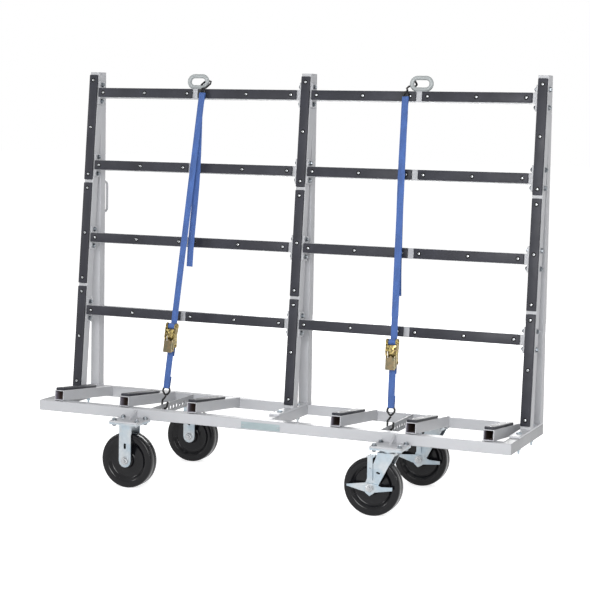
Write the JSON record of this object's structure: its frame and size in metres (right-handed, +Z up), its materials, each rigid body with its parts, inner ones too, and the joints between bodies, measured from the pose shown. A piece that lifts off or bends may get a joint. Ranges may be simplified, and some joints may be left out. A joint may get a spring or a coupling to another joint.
{
  "type": "shop cart",
  "caption": "Tube-framed shop cart for carrying sheets on edge: deck on rigid and braked swivel casters, leaning padded back, sloped support tubes, ratchet straps and tie rings.",
  "frame": {"origin": "on the floor under the middle of the deck", "axes": "+X along the deck to the right as seen from the front, +Y to the rear where the back stands, +Z up"},
  "size_m": [1.8288, 0.6224, 1.517],
  "materials": {
    "grey_paint": "satin",
    "rubber_pad": "matte",
    "wheel_black": "gloss",
    "bright_zinc": "satin",
    "yellow_zinc": "satin",
    "blue_webbing": "woven",
    "hook_black": "satin"
  },
  "bodies": {
    "cart_frame": {"back_bars_1": "grey_paint", "back_bars_2": "grey_paint", "back_bars_3": "grey_paint", "back_bars_4": "grey_paint", "bar_pads": "rubber_pad", "foot_plates": "grey_paint", "front_caster_mounts": "grey_paint", "front_left_fork": "bright_zinc", "front_rail": "grey_paint", "front_right_plate": "bright_zinc", "left_end_rail": "grey_paint", "left_front_leg": "grey_paint", "left_ratchet_frame": "yellow_zinc", "left_rear_leg": "grey_paint", "left_strap": "blue_webbing", "left_strap_tail": "blue_webbing", "left_tie_bar": "grey_paint", "leg_pads": "rubber_pad", "middle_front_leg": "grey_paint", "middle_rail": "grey_paint", "middle_rear_leg": "grey_paint", "pull_handle": "grey_paint", "rear_caster_mounts": "grey_paint", "rear_left_fork": "bright_zinc", "rear_rail": "grey_paint", "rear_right_plate": "bright_zinc", "right_end_rail": "grey_paint", "right_front_leg": "grey_paint", "right_ratchet_frame": "yellow_zinc", "right_rear_leg": "grey_paint", "right_strap": "blue_webbing", "right_strap_tail": "blue_webbing", "right_tie_bar": "grey_paint", "strap_hooks": "hook_black", "support_pads": "rubber_pad", "support_tube_1": "grey_paint", "support_tube_2": "grey_paint", "support_tube_3": "grey_paint", "support_tube_4": "grey_paint", "support_tube_5": "grey_paint", "support_tube_6": "grey_paint", "tie_rings": "grey_paint"},
    "front_left_wheel": {"front_left_wheel": "wheel_black"},
    "front_right_caster": {"front_right_fork": "bright_zinc"},
    "front_right_wheel": {"front_right_wheel": "wheel_black"},
    "front_brake_pedal": {"front_brake_pedal": "bright_zinc"},
    "front_brake_shoe": {"front_brake_shoe": "bright_zinc"},
    "rear_left_wheel": {"rear_left_wheel": "wheel_black"},
    "rear_right_caster": {"rear_right_fork": "bright_zinc"},
    "rear_right_wheel": {"rear_right_wheel": "wheel_black"},
    "rear_brake_pedal": {"rear_brake_pedal": "bright_zinc"},
    "rear_brake_shoe": {"rear_brake_shoe": "bright_zinc"},
    "left_ratchet_spindle": {"left_ratchet_spindle": "yellow_zinc"},
    "left_ratchet_handle": {"left_ratchet_handle": "yellow_zinc"},
    "left_ratchet_release": {"left_ratchet_release": "yellow_zinc"},
    "right_ratchet_spindle": {"right_ratchet_spindle": "yellow_zinc"},
    "right_ratchet_handle": {"right_ratchet_handle": "yellow_zinc"},
    "right_ratchet_release": {"right_ratchet_release": "yellow_zinc"}
  },
  "joints": [
    {"name": "front_left_wheel_roll", "type": "hinge", "parent": "cart_frame", "child": "front_left_wheel", "pos_m": [-0.503, -0.26035, 0.1016], "axis": [0, 1, 0], "continuous": true},
    {"name": "front_right_swivel", "type": "hinge", "parent": "cart_frame", "child": "front_right_caster", "pos_m": [0.503, -0.26035, 0.23495], "axis": [0, 0, 1], "continuous": true},
    {"name": "front_right_wheel_roll", "type": "hinge", "parent": "front_right_caster", "child": "front_right_wheel", "pos_m": [0.446, -0.26035, 0.1016], "axis": [0, 1, 0], "continuous": true},
    {"name": "front_brake_pedal_rock", "type": "hinge", "parent": "front_right_caster", "child": "front_brake_pedal", "pos_m": [0.446, -0.26035, 0.1016], "axis": [0, -1, 0], "range_deg": [0, 20]},
    {"name": "front_brake_shoe_press", "type": "slide", "parent": "front_right_caster", "child": "front_brake_shoe", "axis": [0, 0, -1], "range_m": [0, 0.003]},
    {"name": "rear_left_wheel_roll", "type": "hinge", "parent": "cart_frame", "child": "rear_left_wheel", "pos_m": [-0.503, 0.26035, 0.1016], "axis": [0, 1, 0], "continuous": true},
    {"name": "rear_right_swivel", "type": "hinge", "parent": "cart_frame", "child": "rear_right_caster", "pos_m": [0.503, 0.26035, 0.23495], "axis": [0, 0, 1], "continuous": true},
    {"name": "rear_right_wheel_roll", "type": "hinge", "parent": "rear_right_caster", "child": "rear_right_wheel", "pos_m": [0.446, 0.26035, 0.1016], "axis": [0, 1, 0], "continuous": true},
    {"name": "rear_brake_pedal_rock", "type": "hinge", "parent": "rear_right_caster", "child": "rear_brake_pedal", "pos_m": [0.446, 0.26035, 0.1016], "axis": [0, -1, 0], "range_deg": [0, 20]},
    {"name": "rear_brake_shoe_press", "type": "slide", "parent": "rear_right_caster", "child": "rear_brake_shoe", "axis": [0, 0, -1], "range_m": [0, 0.003]},
    {"name": "left_ratchet_turn", "type": "hinge", "parent": "cart_frame", "child": "left_ratchet_spindle", "pos_m": [-0.44872, -0.03553, 0.56955], "axis": [-0.9993, 0.0064, 0.0382], "continuous": true},
    {"name": "left_ratchet_handle_swing", "type": "hinge", "parent": "cart_frame", "child": "left_ratchet_handle", "pos_m": [-0.44872, -0.03553, 0.56955], "axis": [-0.9993, 0.0064, 0.0382], "range_deg": [0, 165]},
    {"name": "left_ratchet_release_pull", "type": "slide", "parent": "left_ratchet_handle", "child": "left_ratchet_release", "axis": [-0.0387, -0.165, -0.9855], "range_m": [0, 0.006], "stiffness_N_per_m": 300},
    {"name": "right_ratchet_turn", "type": "hinge", "parent": "cart_frame", "child": "right_ratchet_spindle", "pos_m": [0.42493, -0.03573, 0.56965], "axis": [-0.9995, -0.0052, -0.0311], "continuous": true},
    {"name": "right_ratchet_handle_swing", "type": "hinge", "parent": "cart_frame", "child": "right_ratchet_handle", "pos_m": [0.42493, -0.03573, 0.56965], "axis": [-0.9995, -0.0052, -0.0311], "range_deg": [0, 165]},
    {"name": "right_ratchet_release_pull", "type": "slide", "parent": "right_ratchet_handle", "child": "right_ratchet_release", "axis": [0.0315, -0.1644, -0.9859], "range_m": [0, 0.006], "stiffness_N_per_m": 300}
  ],
  "couplings": [
    {"joint": "front_brake_shoe_press", "follows": "front_brake_pedal_rock", "m_per_rad": 0.008594},
    {"joint": "rear_brake_shoe_press", "follows": "rear_brake_pedal_rock", "m_per_rad": 0.008594}
  ]
}
